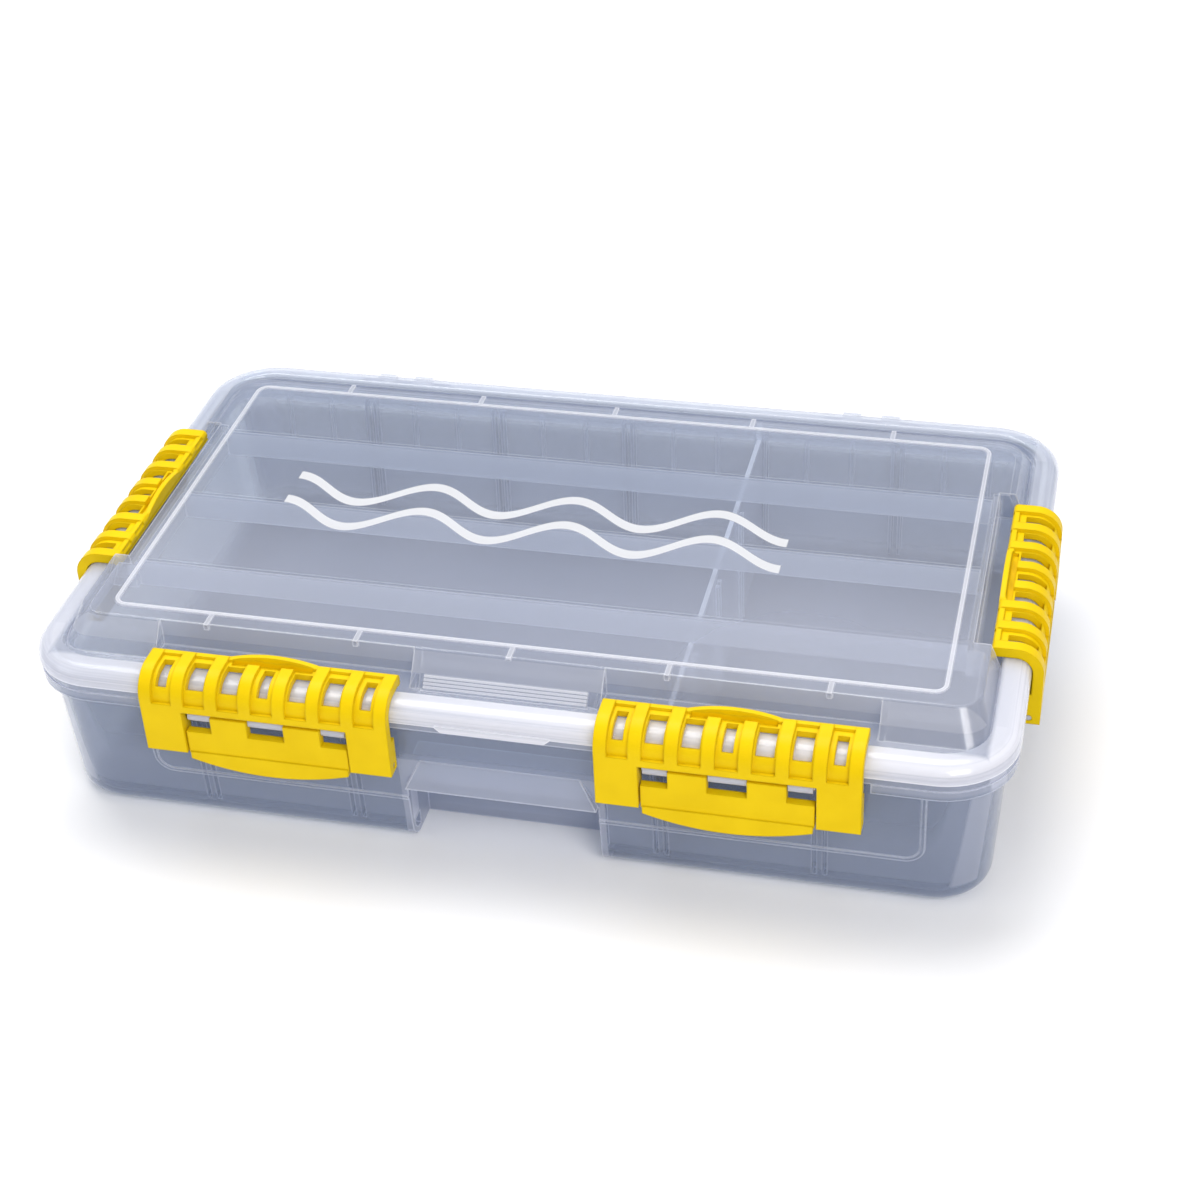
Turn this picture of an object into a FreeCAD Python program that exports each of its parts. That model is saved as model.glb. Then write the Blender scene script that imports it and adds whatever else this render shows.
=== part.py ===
"""Fishing tackle box: a clear tray and hinged lid with a gasket, one divider and four draw latches.

Millimetres, +Z up, +X along the length, the front at -Y, and the origin at the centre of the underside.
Inset means a distance inwards from the outermost line of the rim.
Every driving size is a cell of the sheet Sizes, and the sub-parts are bound to those cells.
"""

import FreeCAD, Part
import math
import os

import Sketcher

V = FreeCAD.Vector
TURN_Z = V(0, 0, 1)
RIGHT_ANGLE = math.pi / 2
NEAR = 0.01  # two heights closer than this are the same level
ZERO = 1e-9  # a coordinate smaller than this lies on the axis
PAST = 1  # how far a cutting tool runs beyond the material
doc = FreeCAD.newDocument("TackleBox")
sheet = doc.addObject("Spreadsheet::Sheet", "Sizes")


class Size:
    """A length that carries both its value and the expression which gives it from the sheet."""

    def __init__(self, value, text):
        self.value = value
        self.text = text

    def joined(self, sign, other, value):
        return Size(value, "(%s %s %s)" % (self.text, sign, as_size(other).text))

    def __add__(self, other):
        return self.joined("+", other, self.value + as_size(other).value)

    def __sub__(self, other):
        return self.joined("-", other, self.value - as_size(other).value)

    def __mul__(self, other):
        return self.joined("*", other, self.value * as_size(other).value)

    __rmul__ = __mul__

    def __truediv__(self, other):
        return self.joined("/", other, self.value / as_size(other).value)

    def __neg__(self):
        return Size(-self.value, "(0 - %s)" % self.text)


def as_size(number):
    return number if isinstance(number, Size) else Size(float(number), repr(float(number)))


row_count = 0


def cell(alias, value):
    """Adds one row to the sheet and returns it as a Size."""
    global row_count
    row_count += 1
    sheet.set("A%d" % row_count, alias)
    sheet.set("B%d" % row_count, str(value))
    sheet.setAlias("B%d" % row_count, alias)
    return Size(float(value), "Sizes." + alias)


# Whole box
box_length = cell("box_length", 356)
box_width = cell("box_width", 222)
box_height = cell("box_height", 74)
rim_corner = cell("rim_corner", 27)
wall = cell("wall", 2.2)

# Rim, as drops below the top of the lid
lip_drop = cell("lip_drop", 13.5)
crest_drop = cell("crest_drop", 7)
ledge_drop = cell("ledge_drop", 11)
flange_drop = cell("flange_drop", 16.4)
skirt_drop = cell("skirt_drop", 20.2)
bead_round = cell("bead_round", 6)
bead_width = cell("bead_width", 10.5)
bead_inner_round = cell("bead_inner_round", 1.6)
channel_start = cell("channel_start", 2.2)
channel_end = cell("channel_end", 9)
channel_drop = cell("channel_drop", 9.8)
seam_gap = cell("seam_gap", 0.1)

# Tray
tray_top_inset = cell("tray_top_inset", 3.8)
tray_foot_inset = cell("tray_foot_inset", 7.3)
foot_round = cell("foot_round", 8)
inner_round = cell("inner_round", 6)
flange_inset = cell("flange_inset", 0.8)
skirt_inset = cell("skirt_inset", 0.4)
skirt_gap_depth = cell("skirt_gap_depth", 10)
tongue_inset = cell("tongue_inset", 4.6)
tongue_rise = cell("tongue_rise", 1.9)
mouth_inset = cell("mouth_inset", 6.4)

# Dome of the lid
dome_foot_x = cell("dome_foot_x", 10)
dome_foot_y = cell("dome_foot_y", 17)
dome_top_x = cell("dome_top_x", 14.5)
dome_top_y = cell("dome_top_y", 26.5)
dome_corner = cell("dome_corner", 9)
dome_edge_round = cell("dome_edge_round", 1)
frame_line_x = cell("frame_line_x", 151.7)
frame_line_y = cell("frame_line_y", 78.9)
frame_line_width = cell("frame_line_width", 1.4)
frame_line_rise = cell("frame_line_rise", 0.6)
frame_line_corner = cell("frame_line_corner", 5)
hanging_rib_drop = cell("hanging_rib_drop", 13.5)
hanging_rib_thick = cell("hanging_rib_thick", 1.6)
rib_pitch_y = cell("rib_pitch_y", 46.7)
cell_pitch_x = cell("cell_pitch_x", 56.3)

# Latches, in a latch's own directions: along, inwards from the rim's outer line, and up
latch_offset = cell("latch_offset", 82.5)
latch_half = cell("latch_half", 45.8)
recess_half = cell("recess_half", 48)
side_recess_inset = cell("side_recess_inset", 20.5)
pivot_inset = cell("pivot_inset", 0.1)
pivot_height = cell("pivot_height", 54)
link_height = cell("link_height", 41.5)
knuckle_radius = cell("knuckle_radius", 2.6)
pin_radius = cell("pin_radius", 1.2)
pin_gap = cell("pin_gap", 0.04)
pin_end_gap = cell("pin_end_gap", 0.3)
plate_out = cell("plate_out", 2.7)
plate_clear = cell("plate_clear", 0.3)
hoop_rise = cell("hoop_rise", 1.4)
hoop_width = cell("hoop_width", 4.6)
window_pitch = cell("window_pitch", 12.6)
wide_window = cell("wide_window", 6.5)
narrow_window = cell("narrow_window", 3.9)
window_out = cell("window_out", 1.2)
window_short = cell("window_short", 1.2)
window_fall = cell("window_fall", 3.4)
pocket_half = cell("pocket_half", 15)
pocket_start = cell("pocket_start", 4.5)
pocket_end = cell("pocket_end", 2.2)
pocket_floor = cell("pocket_floor", 1.2)
hook_reach = cell("hook_reach", 14.6)
lever_half = cell("lever_half", 30)
lever_gap = cell("lever_gap", 0.6)
frame_foot = cell("frame_foot", 39)
band_foot = cell("band_foot", 57.1)
band_head = cell("band_head", 60)
lever_out = cell("lever_out", 3.4)
lip_out = cell("lip_out", 3.9)
neck_rise = cell("neck_rise", 1.4)
window_drop = cell("window_drop", 2.9)
lug_half = cell("lug_half", 6.6)
outer_lug_start = cell("outer_lug_start", 20.7)
outer_lug_end = cell("outer_lug_end", 29.2)
lug_gap = cell("lug_gap", 0.3)

# Rear hinge
hinge_out = cell("hinge_out", 3.5)
hinge_drop = cell("hinge_drop", 16.5)
hinge_radius = cell("hinge_radius", 2.6)
hinge_offset = cell("hinge_offset", 100)
hinge_knuckle = cell("hinge_knuckle", 8)
hinge_gap = cell("hinge_gap", 0.3)

half_x = box_length / 2
half_y = box_width / 2
top = box_height
parting = top - lip_drop
flange_foot = top - flange_drop
crest = top - crest_drop
ledge = top - ledge_drop
floor_top = wall
flush_out = plate_out + hoop_rise
doc.recompute()


def bind(thing, path, size):
    thing.setExpression(path, as_size(size).text)


def place(thing, x, y, z, turn=None):
    """Sets a placement whose base point follows the sheet."""
    x, y, z = as_size(x), as_size(y), as_size(z)
    rotation = turn or FreeCAD.Rotation()
    thing.Placement = FreeCAD.Placement(V(x.value, y.value, z.value), rotation)
    for axis, part in (("x", x), ("y", y), ("z", z)):
        bind(thing, ".Placement.Base.%s" % axis, part)


def block(name, x, y, z, turn=None, at=None):
    """A Part::Box from three (low, high) pairs, or turned about the point at."""
    thing = doc.addObject("Part::Box", name)
    for side, (low, high) in (("Length", x), ("Width", y), ("Height", z)):
        bind(thing, side, as_size(high) - low)
    start = at or (x[0], y[0], z[0])
    place(thing, start[0], start[1], start[2], turn)
    return thing


def rod(name, start, end, y, z, radius):
    """A Part::Cylinder along X from start to end."""
    thing = doc.addObject("Part::Cylinder", name)
    bind(thing, "Radius", radius)
    bind(thing, "Height", as_size(end) - start)
    place(thing, start, y, z, FreeCAD.Rotation(V(0, 1, 0), 90))
    return thing


def fuse(name, things):
    thing = doc.addObject("Part::MultiFuse", name)
    thing.Shapes = things
    return thing


def cut(name, base, tools):
    thing = doc.addObject("Part::Cut", name)
    thing.Base = base
    thing.Tool = tools[0] if len(tools) == 1 else fuse(name + "_tools", tools)
    return thing


def common(name, first, second):
    thing = doc.addObject("Part::Common", name)
    thing.Base = first
    thing.Tool = second
    return thing


def new_body(name):
    return doc.addObject("PartDesign::Body", name)


def sketch_on(body, name, role, height=None):
    """A sketch on one of the body's own origin planes, lifted off it by height."""
    sketch = body.newObject("Sketcher::SketchObject", name)
    plane = [f for f in body.Origin.OriginFeatures if f.Role == role][0]
    sketch.AttachmentSupport = [(plane, "")]
    sketch.MapMode = "FlatFace"
    if height is not None:
        bind(sketch, "AttachmentOffset.Base.z", height)
    return sketch


def rounded_rectangle(sketch, half_long, half_wide, corner):
    """Four lines and four tangent arcs about the sketch's origin."""
    hx, hy, r = half_long.value, half_wide.value, corner.value
    low, high = hy - r, hx - r
    ends = [(-high, -hy), (high, -hy), (hx, -low), (hx, low)]
    ends += [(-a, -b) for a, b in ends]
    centres = [(high, -low), (high, low), (-high, low), (-high, -low)]
    first = sketch.GeometryCount
    for side, centre in enumerate(centres):
        start, end = ends[2 * side], ends[2 * side + 1]
        circle = Part.Circle(V(centre[0], centre[1], 0), TURN_Z, r)
        angle = (side - 1) * RIGHT_ANGLE
        sketch.addGeometry(Part.LineSegment(V(start[0], start[1], 0), V(end[0], end[1], 0)), False)
        sketch.addGeometry(Part.ArcOfCircle(circle, angle, angle + RIGHT_ANGLE), False)
    rule = Sketcher.Constraint
    rules = [rule("Tangent", first + k, 2, first + (k + 1) % 8, 1) for k in range(8)]
    rules += [rule("Horizontal", first), rule("Horizontal", first + 4)]
    rules += [rule("Vertical", first + 2), rule("Vertical", first + 6)]
    rules += [rule("Equal", first + k, first + k + 2) for k in (1, 3, 5)]
    rules += [rule("Symmetric", first, 1, first + 4, 1, -1, 1)]
    sketch.addConstraint(rules)
    for kind, edge, size in (("DistanceX", 2, half_long), ("DistanceY", 4, half_wide)):
        number = sketch.addConstraint(rule(kind, -1, 1, first + edge, 1, size.value))
        sketch.setExpression("Constraints[%d]" % number, size.text)
    number = sketch.addConstraint(rule("Radius", first + 1, r))
    sketch.setExpression("Constraints[%d]" % number, corner.text)


def polygon(sketch, points):
    """A closed outline whose corners all follow the sheet."""
    points = [(as_size(a), as_size(b)) for a, b in points]
    rule = Sketcher.Constraint
    for k, (a, b) in enumerate(points):
        c, d = points[(k + 1) % len(points)]
        sketch.addGeometry(Part.LineSegment(V(a.value, b.value, 0), V(c.value, d.value, 0)), False)
    for k, (a, b) in enumerate(points):
        sketch.addConstraint(rule("Coincident", k, 2, (k + 1) % len(points), 1))
        for kind, size, axis in (("DistanceX", a, -2), ("DistanceY", b, -1)):
            if abs(size.value) < ZERO:
                sketch.addConstraint(rule("PointOnObject", k, 1, axis))
                continue
            number = sketch.addConstraint(rule(kind, -1, 1, k, 1, size.value))
            sketch.setExpression("Constraints[%d]" % number, size.text)


def plan_sketch(body, name, inset_x, inset_y, corner, height):
    """The box's plan outline, inset from the rim, at a height."""
    sketch = sketch_on(body, name, "XY_Plane", height)
    rounded_rectangle(sketch, half_x - inset_x, half_y - inset_y, as_size(corner))
    return sketch


def pad(body, name, sketch, length):
    feature = body.newObject("PartDesign::Pad", name)
    feature.Profile = sketch
    bind(feature, "Length", length)
    return feature


def through_pocket(body, name, sketch):
    """Cuts a sketch upwards through everything."""
    pocket = body.newObject("PartDesign::Pocket", name)
    pocket.Profile = sketch
    pocket.Type = 1
    pocket.Reversed = True


def loft(body, name, low, high, kind="AdditiveLoft"):
    feature = body.newObject("PartDesign::" + kind, name)
    feature.Profile = low
    feature.Sections = [high]
    feature.Ruled = True
    return feature


def fillet(body, name, base, radius, wanted):
    """Rounds the edges of base for which wanted(edge's bounding box) is true."""
    doc.recompute()
    names = ["Edge%d" % (k + 1) for k, edge in enumerate(base.Shape.Edges) if wanted(edge.BoundBox)]
    feature = body.newObject("PartDesign::Fillet", name)
    feature.Base = (base, names)
    bind(feature, "Radius", radius)
    return feature


def level_at(height):
    """A test for edges that lie flat at a height."""
    return lambda box: abs(box.ZMin - height) < NEAR and abs(box.ZMax - height) < NEAR


def prism(name, role, points, start, length):
    """A polygon pushed out of one of the origin planes, from start."""
    body = new_body(name)
    sketch = sketch_on(body, name + "_outline", role, start)
    polygon(sketch, points)
    pad(body, name + "_pad", sketch, length)
    return body


def rim_corner_at(inset):
    return rim_corner - inset


def even_plan(body, name, inset, height):
    """The plan outline inset by the same amount all round, its corners concentric with the rim's."""
    return plan_sketch(body, name, inset, inset, rim_corner_at(inset), height)


# ---------------------------------------------------------------- tray


def tray_shell():
    """The drafted tub with its flange, its sealing tongue and the rounded inside."""
    body = new_body("tray_shell")
    foot = even_plan(body, "tray_foot", tray_foot_inset, 0)
    shoulder = even_plan(body, "tray_shoulder", tray_top_inset, flange_foot)
    tub = loft(body, "tub", foot, shoulder)
    fillet(body, "tub_foot_round", tub, foot_round, level_at(0))
    flange = even_plan(body, "flange_plan", flange_inset, flange_foot)
    pad(body, "flange", flange, parting - seam_gap - flange_foot)
    tongue = even_plan(body, "tongue_plan", tongue_inset, parting - seam_gap)
    pad(body, "tongue", tongue, tongue_rise)
    cavity_low = even_plan(body, "cavity_floor", tray_foot_inset + wall, floor_top)
    mouth = even_plan(body, "cavity_mouth", mouth_inset, parting + tongue_rise + wall)
    cavity = loft(body, "cavity", cavity_low, mouth, "SubtractiveLoft")
    fillet(body, "cavity_floor_round", cavity, inner_round, level_at(floor_top.value))
    return body


def corner_skirts():
    """The deeper flange that runs round the corners and the back, stopped short of the latches."""
    body = new_body("skirt_ring")
    outline = even_plan(body, "skirt_plan", skirt_inset, top - skirt_drop)
    pad(body, "skirt_pad", outline, skirt_drop - flange_drop)
    low, high = top - skirt_drop - PAST, flange_foot + PAST
    through_pocket(body, "skirt_pocket", even_plan(body, "skirt_hollow", tray_top_inset + wall / 2, low))
    reach = latch_offset + recess_half
    front_y = (-half_y - PAST, -half_y + skirt_gap_depth)
    front = block("skirt_front_gap", (-reach, reach), front_y, (low, high))
    sides = block("skirt_side_gap", (-half_x - PAST, half_x + PAST), (-recess_half, recess_half), (low, high))
    return cut("corner_skirt", body, [front, sides])


def latch_lugs(name, x_centre, y_line, turn):
    """Three lugs with rounded noses that carry one latch's lever pin."""
    lugs = []
    lug_round, embed = knuckle_radius - 0.2, 0.2
    spans = [(-lug_half, lug_half), (outer_lug_start, outer_lug_end), (-outer_lug_end, -outer_lug_start)]
    for number, (start, end) in enumerate(spans):
        label = "%s_%d" % (name, number)
        root = (pivot_inset, tray_top_inset + wall / 2)
        height = (pivot_height - lug_round, flange_foot + embed)
        body_block = block(label + "_block", (start, end), root, height)
        nose = rod(label + "_nose", start, end, pivot_inset, pivot_height, lug_round)
        lugs += [body_block, nose]
    bore = rod(name + "_bore", -lever_half, lever_half, pivot_inset, pivot_height, pin_radius + pin_gap)
    group = cut(name, fuse(name + "_solid", lugs), [bore])
    place(group, x_centre, y_line, 0, turn)
    return group


def wall_draft():
    """How far the tray's walls lean, in degrees."""
    return math.degrees(math.atan2(tray_foot_inset.value - tray_top_inset.value, flange_foot.value))


def divider_slots():
    """Pairs of upright ribs inside the front and back walls, none where the notch is."""
    ribs = []
    gap, thick, depth, embed = 1.1, 1.5, 4.5, wall / 2
    foot_rise, head_drop = 4, 1
    foot_z = floor_top + foot_rise
    tall = flange_foot - foot_z - head_drop
    inner_y = half_y - tray_foot_inset - embed
    for side in (-1, 1):
        turn = FreeCAD.Rotation(V(1, 0, 0), -side * wall_draft())
        for n in range(-2, 3):
            if side < 0 and n == 0:
                continue
            for hand in (-1, 1):
                centre = cell_pitch_x * n + hand * (gap + thick / 2)
                x = (centre - thick / 2, centre + thick / 2)
                name = "slot_%s_%d_%s" % ("b" if side > 0 else "f", n + 2, "r" if hand > 0 else "l")
                start = inner_y - depth if side > 0 else -inner_y
                ribs.append(block(name, x, (0, depth), (0, tall), turn, (x[0], start, foot_z)))
    return ribs


notch_half = cell("notch_half", 35)
notch_top_half = cell("notch_top_half", 29)
notch_height = cell("notch_height", 28.3)
notch_ramp_top = cell("notch_ramp_top", 40.5)
notch_depth = cell("notch_depth", 25)
ramp_out = cell("ramp_out", 2.6)


def notch_fill():
    """The solid that the front notch is cut into, and the ramp above it."""
    back = notch_depth + wall
    liner = block(
        "notch_liner",
        (-notch_half - wall, notch_half + wall),
        (-half_y + tray_foot_inset + foot_round, -half_y + back),
        (wall / 2, notch_height + wall),
    )
    liner_front = block(
        "notch_liner_front",
        (-notch_half - wall, notch_half + wall),
        (-half_y + tray_foot_inset, -half_y + back),
        (foot_round, notch_height + wall),
    )
    body = new_body("notch_ramp")
    inner_line = -half_y + tray_top_inset + wall
    high_front = inner_line - wall * 0.6
    high = sketch_on(body, "ramp_high", "XY_Plane", notch_ramp_top)
    polygon(high, oblong(notch_top_half, high_front, inner_line))
    low = sketch_on(body, "ramp_low", "XY_Plane", notch_height)
    polygon(low, oblong(notch_half, -half_y + ramp_out, inner_line + wall))
    loft(body, "ramp", low, high)
    return [liner, liner_front, body]


def oblong(half, front, back):
    """The four corners of a rectangle that is centred in X."""
    return [(-half, front), (half, front), (half, back), (-half, back)]


def back_stubs():
    """Short ribs inside the back wall, at thirds of the pitch between the slots."""
    stubs = []
    thick, depth, rise = 1.5, 2.2, 2
    low = flange_foot / 2
    inner_y = half_y - tray_foot_inset - wall / 2
    turn = FreeCAD.Rotation(V(1, 0, 0), -wall_draft())
    shift = low * math.tan(math.radians(wall_draft()))
    for n in range(-3, 3):
        for third in (1, 2):
            centre = cell_pitch_x * (n + third / 3.0)
            if abs(centre.value) > (half_x - rim_corner).value:
                continue
            x = (centre - thick / 2, centre + thick / 2)
            name = "stub_%d_%d" % (n + 3, third)
            spot = (x[0], inner_y - depth + shift, low)
            stubs.append(block(name, x, (0, depth), (0, low - rise), turn, spot))
    return stubs


outline_left = cell("outline_left", 131.5)
outline_right = cell("outline_right", 149)
outline_foot = cell("outline_foot", 21)
outline_head = cell("outline_head", 59.5)
outline_corner = cell("outline_corner", 7)


def wall_line():
    """The raised line on the front wall, a rounded frame whose upper edge is inside the flange."""
    rise, width = 0.6, 1.6
    half_long = (outline_left + outline_right) / 2
    half_high = (outline_head - outline_foot) / 2
    body = new_body("outline")
    sketch = sketch_on(body, "outline_plan", "XZ_Plane")
    rounded_rectangle(sketch, half_long, half_high, outline_corner)
    rounded_rectangle(sketch, half_long - width, half_high - width, outline_corner - width)
    pad(body, "outline_pad", sketch, as_size(2 * rise))
    lean = math.tan(math.radians(wall_draft()))
    middle = outline_foot + half_high
    y = -half_y + tray_foot_inset - middle * lean + rise
    place(body, (outline_right - outline_left) / 2, y, middle, FreeCAD.Rotation(V(1, 0, 0), wall_draft()))
    return body


def hinge_knuckles(name, x_centre, for_lid):
    """One leaf's knuckles at one of the two rear hinges, with the web that joins them to the rim."""
    y = half_y + hinge_out
    z = top - hinge_drop
    root_rise, web_out, root_in = 2, 0.6, 1.6
    things = []
    spots = (-1, 1) if for_lid else (-2, 0, 2)
    for spot in spots:
        low = x_centre + spot * hinge_knuckle - hinge_knuckle / 2 + hinge_gap / 2
        high = x_centre + spot * hinge_knuckle + hinge_knuckle / 2 - hinge_gap / 2
        label = "%s_%d" % (name, spot + 2)
        things.append(rod(label + "_barrel", low, high, y, z, hinge_radius))
        if for_lid:
            web_y = (half_y + web_out, y + hinge_radius / 2)
            things.append(block(label + "_web", (low, high), web_y, (z, parting + root_rise)))
            root_y = (half_y - root_in, y)
            things.append(block(label + "_root", (low, high), root_y, (parting, parting + root_rise)))
        else:
            web_y = (half_y - tray_top_inset, y)
            things.append(block(label + "_web", (low, high), web_y, (z - hinge_radius, z)))
    return things


def hinge_bores(name):
    """The two long holes that the rear hinge pins run in."""
    reach = hinge_knuckle * 2.5
    bores = []
    for hand, side in ((-1, "left"), (1, "right")):
        start, end = hinge_offset * hand - reach - PAST, hinge_offset * hand + reach + PAST
        y, z = half_y + hinge_out, top - hinge_drop
        bores.append(rod("%s_%s" % (name, side), start, end, y, z, pin_radius + pin_gap))
    return bores


LATCHES = (
    ("front_left", -latch_offset, -half_y, 0),
    ("front_right", latch_offset, -half_y, 0),
    ("side_left", -half_x, as_size(0), -90),
    ("side_right", half_x, as_size(0), 90),
)


def make_tray():
    solids = [tray_shell(), corner_skirts(), wall_line()] + notch_fill() + divider_slots() + back_stubs()
    for name, x, y, degrees in LATCHES:
        solids.append(latch_lugs(name + "_lugs", x, y, FreeCAD.Rotation(TURN_Z, degrees)))
    for hand, side in ((-1, "left"), (1, "right")):
        solids += hinge_knuckles("tray_hinge_" + side, hinge_offset * hand, False)
    notch = block(
        "front_notch",
        (-notch_half, notch_half),
        (-half_y - PAST, -half_y + notch_depth),
        (-PAST, notch_height),
    )
    return cut("base_tray", fuse("tray_solid", solids), [notch] + hinge_bores("tray_hinge_bore"))


# ---------------------------------------------------------------- lid


def lid_shell():
    """The rolled rim, the ledge and the domed top, before the latch recesses."""
    body = new_body("lid_shell")
    rim = even_plan(body, "rim_plan", as_size(0), parting)
    slab = pad(body, "rim_slab", rim, crest - parting)
    fillet(body, "rim_roll", slab, bead_round, level_at(crest.value))
    sunk = body.newObject("PartDesign::Pocket", "ledge_pocket")
    sunk.Profile = even_plan(body, "ledge_plan", bead_width, crest)
    bind(sunk, "Length", crest - ledge)

    def inner_crest(box):
        in_x = box.XMax <= (half_x - bead_width).value + NEAR
        in_y = box.YMax <= (half_y - bead_width).value + NEAR
        return level_at(crest.value)(box) and in_x and in_y

    fillet(body, "rim_inner_round", sunk, bead_inner_round, inner_crest)
    embed = 0.5
    foot = plan_sketch(body, "dome_foot", dome_foot_x, dome_foot_y, dome_corner, ledge - embed)
    head = plan_sketch(body, "dome_head", dome_top_x, dome_top_y, dome_corner, top)
    dome = loft(body, "dome", foot, head)
    fillet(body, "dome_edge", dome, dome_edge_round, level_at(top.value))
    corner = dome_corner - wall
    low = plan_sketch(body, "hollow_low", dome_foot_x + wall, dome_foot_y + wall, corner, parting - embed)
    high = plan_sketch(body, "hollow_high", dome_top_x + wall, dome_top_y + wall, corner, top - wall)
    loft(body, "hollow", low, high, "SubtractiveLoft")
    relief = body.newObject("PartDesign::Pocket", "ledge_relief")
    relief.Profile = even_plan(body, "under_ledge", channel_start, ledge - wall)
    bind(relief, "Length", ledge - wall - parting + PAST)
    return body


def gasket_channel():
    """The groove under the rolled rim, which takes the gasket and the tray's tongue."""
    body = new_body("channel_ring")
    outer = even_plan(body, "channel_outer", channel_start, parting - PAST)
    pad(body, "channel_pad", outer, lip_drop - channel_drop + PAST)
    through_pocket(body, "channel_core", even_plan(body, "channel_inner", channel_end, parting - 2 * PAST))
    return body


def latch_recesses():
    """For each latch: the walls behind and beside it, and the space that is cut for it."""
    walls, spaces = [], []
    for name, x, y, degrees in LATCHES:
        turn = FreeCAD.Rotation(TURN_Z, degrees)
        on_side = degrees != 0
        foot = dome_foot_x if on_side else dome_foot_y
        head = dome_top_x if on_side else dome_top_y
        back = side_recess_inset if on_side else head
        start = foot + seam_gap
        outline = [
            (start, ledge - wall),
            (back + wall, ledge - wall),
            (back + wall, top - wall / 2),
            (head, top - wall / 2),
            (start, ledge),
        ]
        reach = recess_half + wall
        fill = prism(name + "_recess_wall", "YZ_Plane", outline, -reach, reach * 2)
        place(fill, x, y, 0, turn)
        walls.append(fill)
        space = prism(
            name + "_recess_space",
            "YZ_Plane",
            [(bead_width, ledge), (back, ledge), (back, top + PAST), (bead_width, top + PAST)],
            -recess_half,
            recess_half * 2,
        )
        place(space, x, y, 0, turn)
        spaces.append(space)
    return walls, spaces


tab_half = cell("tab_half", 20.5)
tab_drop = cell("tab_drop", 1.8)
grip_half = cell("grip_half", 29.5)


def hanging_ribs():
    """Three ribs that hang from the lid's roof along the box."""
    reach = half_x - side_recess_inset - wall / 2
    height = (top - hanging_rib_drop, top - wall / 2)
    ribs = []
    for n in (-1, 0, 1):
        y = rib_pitch_y * n
        span = (y - hanging_rib_thick / 2, y + hanging_rib_thick / 2)
        ribs.append(block("hanging_rib_%d" % (n + 1), (-reach, reach), span, height))
    return ribs


def frame_line():
    """The raised rectangular line on the roof."""
    body = new_body("frame_line")
    outline = sketch_on(body, "frame_outline", "XY_Plane", top - wall / 2)
    width = frame_line_width
    rounded_rectangle(outline, frame_line_x, frame_line_y, frame_line_corner)
    rounded_rectangle(outline, frame_line_x - width, frame_line_y - width, frame_line_corner - width)
    pad(body, "frame_line_pad", outline, wall / 2 + frame_line_rise)
    return body


def place_ticks():
    """Short marks from the frame line over the roof's edge, one at each divider place."""
    tick, over_edge = 1.8, 0.8
    height = (top - wall, top + frame_line_rise / 2)
    ticks = []
    for side in (-1, 1):
        inner, outer = frame_line_y * side, (half_y - dome_top_y + over_edge) * side
        reach = (inner, outer) if side > 0 else (outer, inner)
        for n in range(-2, 3):
            x = cell_pitch_x * n
            name = "tick_%s_%d" % ("b" if side > 0 else "f", n + 2)
            ticks.append(block(name, (x - tick / 2, x + tick / 2), reach, height))
    return ticks


def thumb_tab():
    """The thin tab below the front rim, which hangs in front of the tray's flange."""
    slant, rise, inner, proud = 2, 1, as_size(0.65), 0.3
    outline = [
        (-tab_half, parting + rise),
        (-tab_half, parting),
        (-tab_half + slant, parting - tab_drop),
        (tab_half - slant, parting - tab_drop),
        (tab_half, parting),
        (tab_half, parting + rise),
    ]
    return prism("thumb_tab", "XZ_Plane", outline, half_y - inner, inner + proud)


def grip_lines():
    """Four raised lines across the front slope of the dome, between the latches."""
    width, rise, first, step = 0.9, 0.5, 0.7, 0.09
    run = dome_top_y - dome_foot_y
    slope = math.atan2(ledge_drop.value, run.value)
    turn = FreeCAD.Rotation(V(1, 0, 0), math.degrees(slope))
    lines = []
    for n in range(4):
        along = first + step * n
        y = -half_y + dome_top_y - run * along + rise * math.sin(slope)
        z = top - ledge_drop * along - rise * math.cos(slope)
        size = ((-grip_half, grip_half), (0, width), (0, 2 * rise))
        lines.append(block("grip_line_%d" % n, *size, turn, (-grip_half, y, z)))
    return lines


def make_lid():
    walls, spaces = latch_recesses()
    solids = [lid_shell()] + walls
    shaped = cut("lid_shaped", fuse("lid_solid", solids), spaces + [gasket_channel()])
    extras = hanging_ribs() + [frame_line(), thumb_tab()] + place_ticks() + grip_lines()
    for hand, side in ((-1, "left"), (1, "right")):
        extras += hinge_knuckles("lid_hinge_" + side, hinge_offset * hand, True)
    return cut("lid", fuse("lid_joined", [shaped] + extras), hinge_bores("lid_hinge_bore"))


def make_gasket():
    """A flat-sided rubber ring that fills the channel above the tongue."""
    body = new_body("lid_gasket")
    beyond_tongue, beyond_mouth, head_gap, edge_round = 0.3, 0.4, 0.02, 0.6
    low, high = parting + tongue_rise, top - channel_drop - head_gap
    ring = sketch_on(body, "gasket_outline", "XY_Plane", low)
    outer = tongue_inset - beyond_tongue
    inner = mouth_inset + beyond_mouth
    rounded_rectangle(ring, half_x - outer, half_y - outer, rim_corner_at(outer))
    rounded_rectangle(ring, half_x - inner, half_y - inner, rim_corner_at(inner))
    solid = pad(body, "gasket_pad", ring, high - low)
    ends = [level_at(z.value) for z in (low, high)]
    fillet(body, "gasket_round", solid, edge_round, lambda box: any(test(box) for test in ends))
    return body


# ---------------------------------------------------------------- divider and pins


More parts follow.
